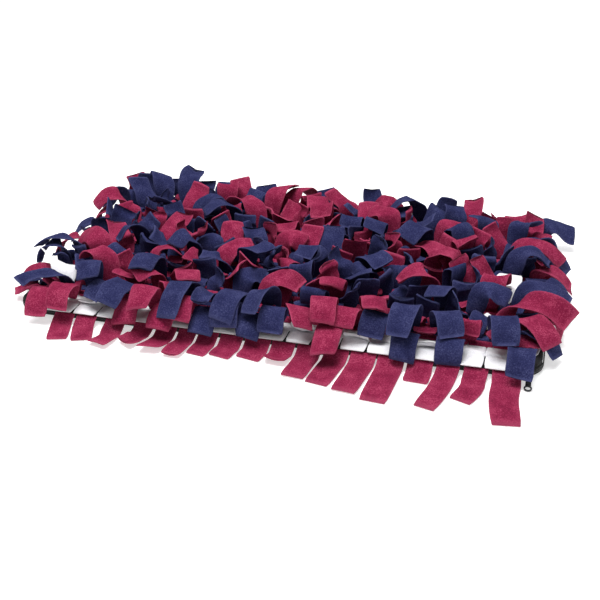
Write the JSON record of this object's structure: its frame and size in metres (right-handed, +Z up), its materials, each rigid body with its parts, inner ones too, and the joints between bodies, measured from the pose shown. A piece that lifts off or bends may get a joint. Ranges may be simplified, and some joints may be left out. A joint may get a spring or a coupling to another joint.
{
  "type": "snuffle mat",
  "caption": "Flat oblong fleece mat with a zipped rim, a deep pile of knotted fleece strips on top and a fringe along its front",
  "frame": {"origin": "middle of the flat underside of the base", "axes": "+X along the length, -Y towards the fringed front, +Z up"},
  "size_m": [0.6856, 0.4954, 0.0635],
  "materials": {
    "black_cloth": "black woven polyester underside and padded rim, matte",
    "zip_tape": "black knitted zip tape with a nylon coil",
    "zip_metal": "black painted zinc slider and puller, worn to bare metal at the end of the puller",
    "white_fleece": "white polar fleece, pebbled nap",
    "navy_fleece": "navy polar fleece, pebbled nap, cut edges",
    "maroon_fleece": "maroon polar fleece, pebbled nap, cut edges"
  },
  "bodies": {
    "root": {"base_pad": "black_cloth", "zip_band": "zip_tape", "zip_slider": "zip_metal", "zip_puller": "zip_metal", "base_cloth": "white_fleece", "white_tabs": "white_fleece", "front_fringe": "maroon_fleece", "end_tail_01": "white_fleece", "end_tail_02": "white_fleece", "end_tail_03": "white_fleece", "end_tail_04": "maroon_fleece", "end_tail_05": "navy_fleece", "end_tail_06": "maroon_fleece", "end_tail_07": "navy_fleece", "end_tail_08": "maroon_fleece", "end_tail_09": "navy_fleece", "end_tail_10": "navy_fleece", "end_tail_11": "maroon_fleece", "end_tail_12": "navy_fleece", "end_tail_13": "maroon_fleece", "end_tail_14": "navy_fleece", "end_tail_15": "maroon_fleece", "front_tuft_1": "maroon_fleece", "front_tuft_2": "maroon_fleece", "front_tuft_3": "navy_fleece", "front_tuft_4": "maroon_fleece", "front_tuft_5": "navy_fleece", "front_tuft_6": "navy_fleece", "front_tuft_7": "navy_fleece", "navy_row_01": "navy_fleece", "navy_row_02": "navy_fleece", "navy_row_03": "navy_fleece", "navy_row_04": "navy_fleece", "navy_row_05": "navy_fleece", "navy_row_06": "navy_fleece", "navy_row_07": "navy_fleece", "navy_row_08": "navy_fleece", "navy_row_09": "navy_fleece", "navy_row_10": "navy_fleece", "navy_row_11": "navy_fleece", "navy_row_12": "navy_fleece", "navy_row_13": "navy_fleece", "maroon_row_01": "maroon_fleece", "maroon_row_02": "maroon_fleece", "maroon_row_03": "maroon_fleece", "maroon_row_04": "maroon_fleece", "maroon_row_05": "maroon_fleece", "maroon_row_06": "maroon_fleece", "maroon_row_07": "maroon_fleece", "maroon_row_08": "maroon_fleece", "maroon_row_09": "maroon_fleece", "maroon_row_10": "maroon_fleece", "maroon_row_11": "maroon_fleece", "maroon_row_12": "maroon_fleece", "maroon_row_13": "maroon_fleece"}
  },
  "joints": []
}
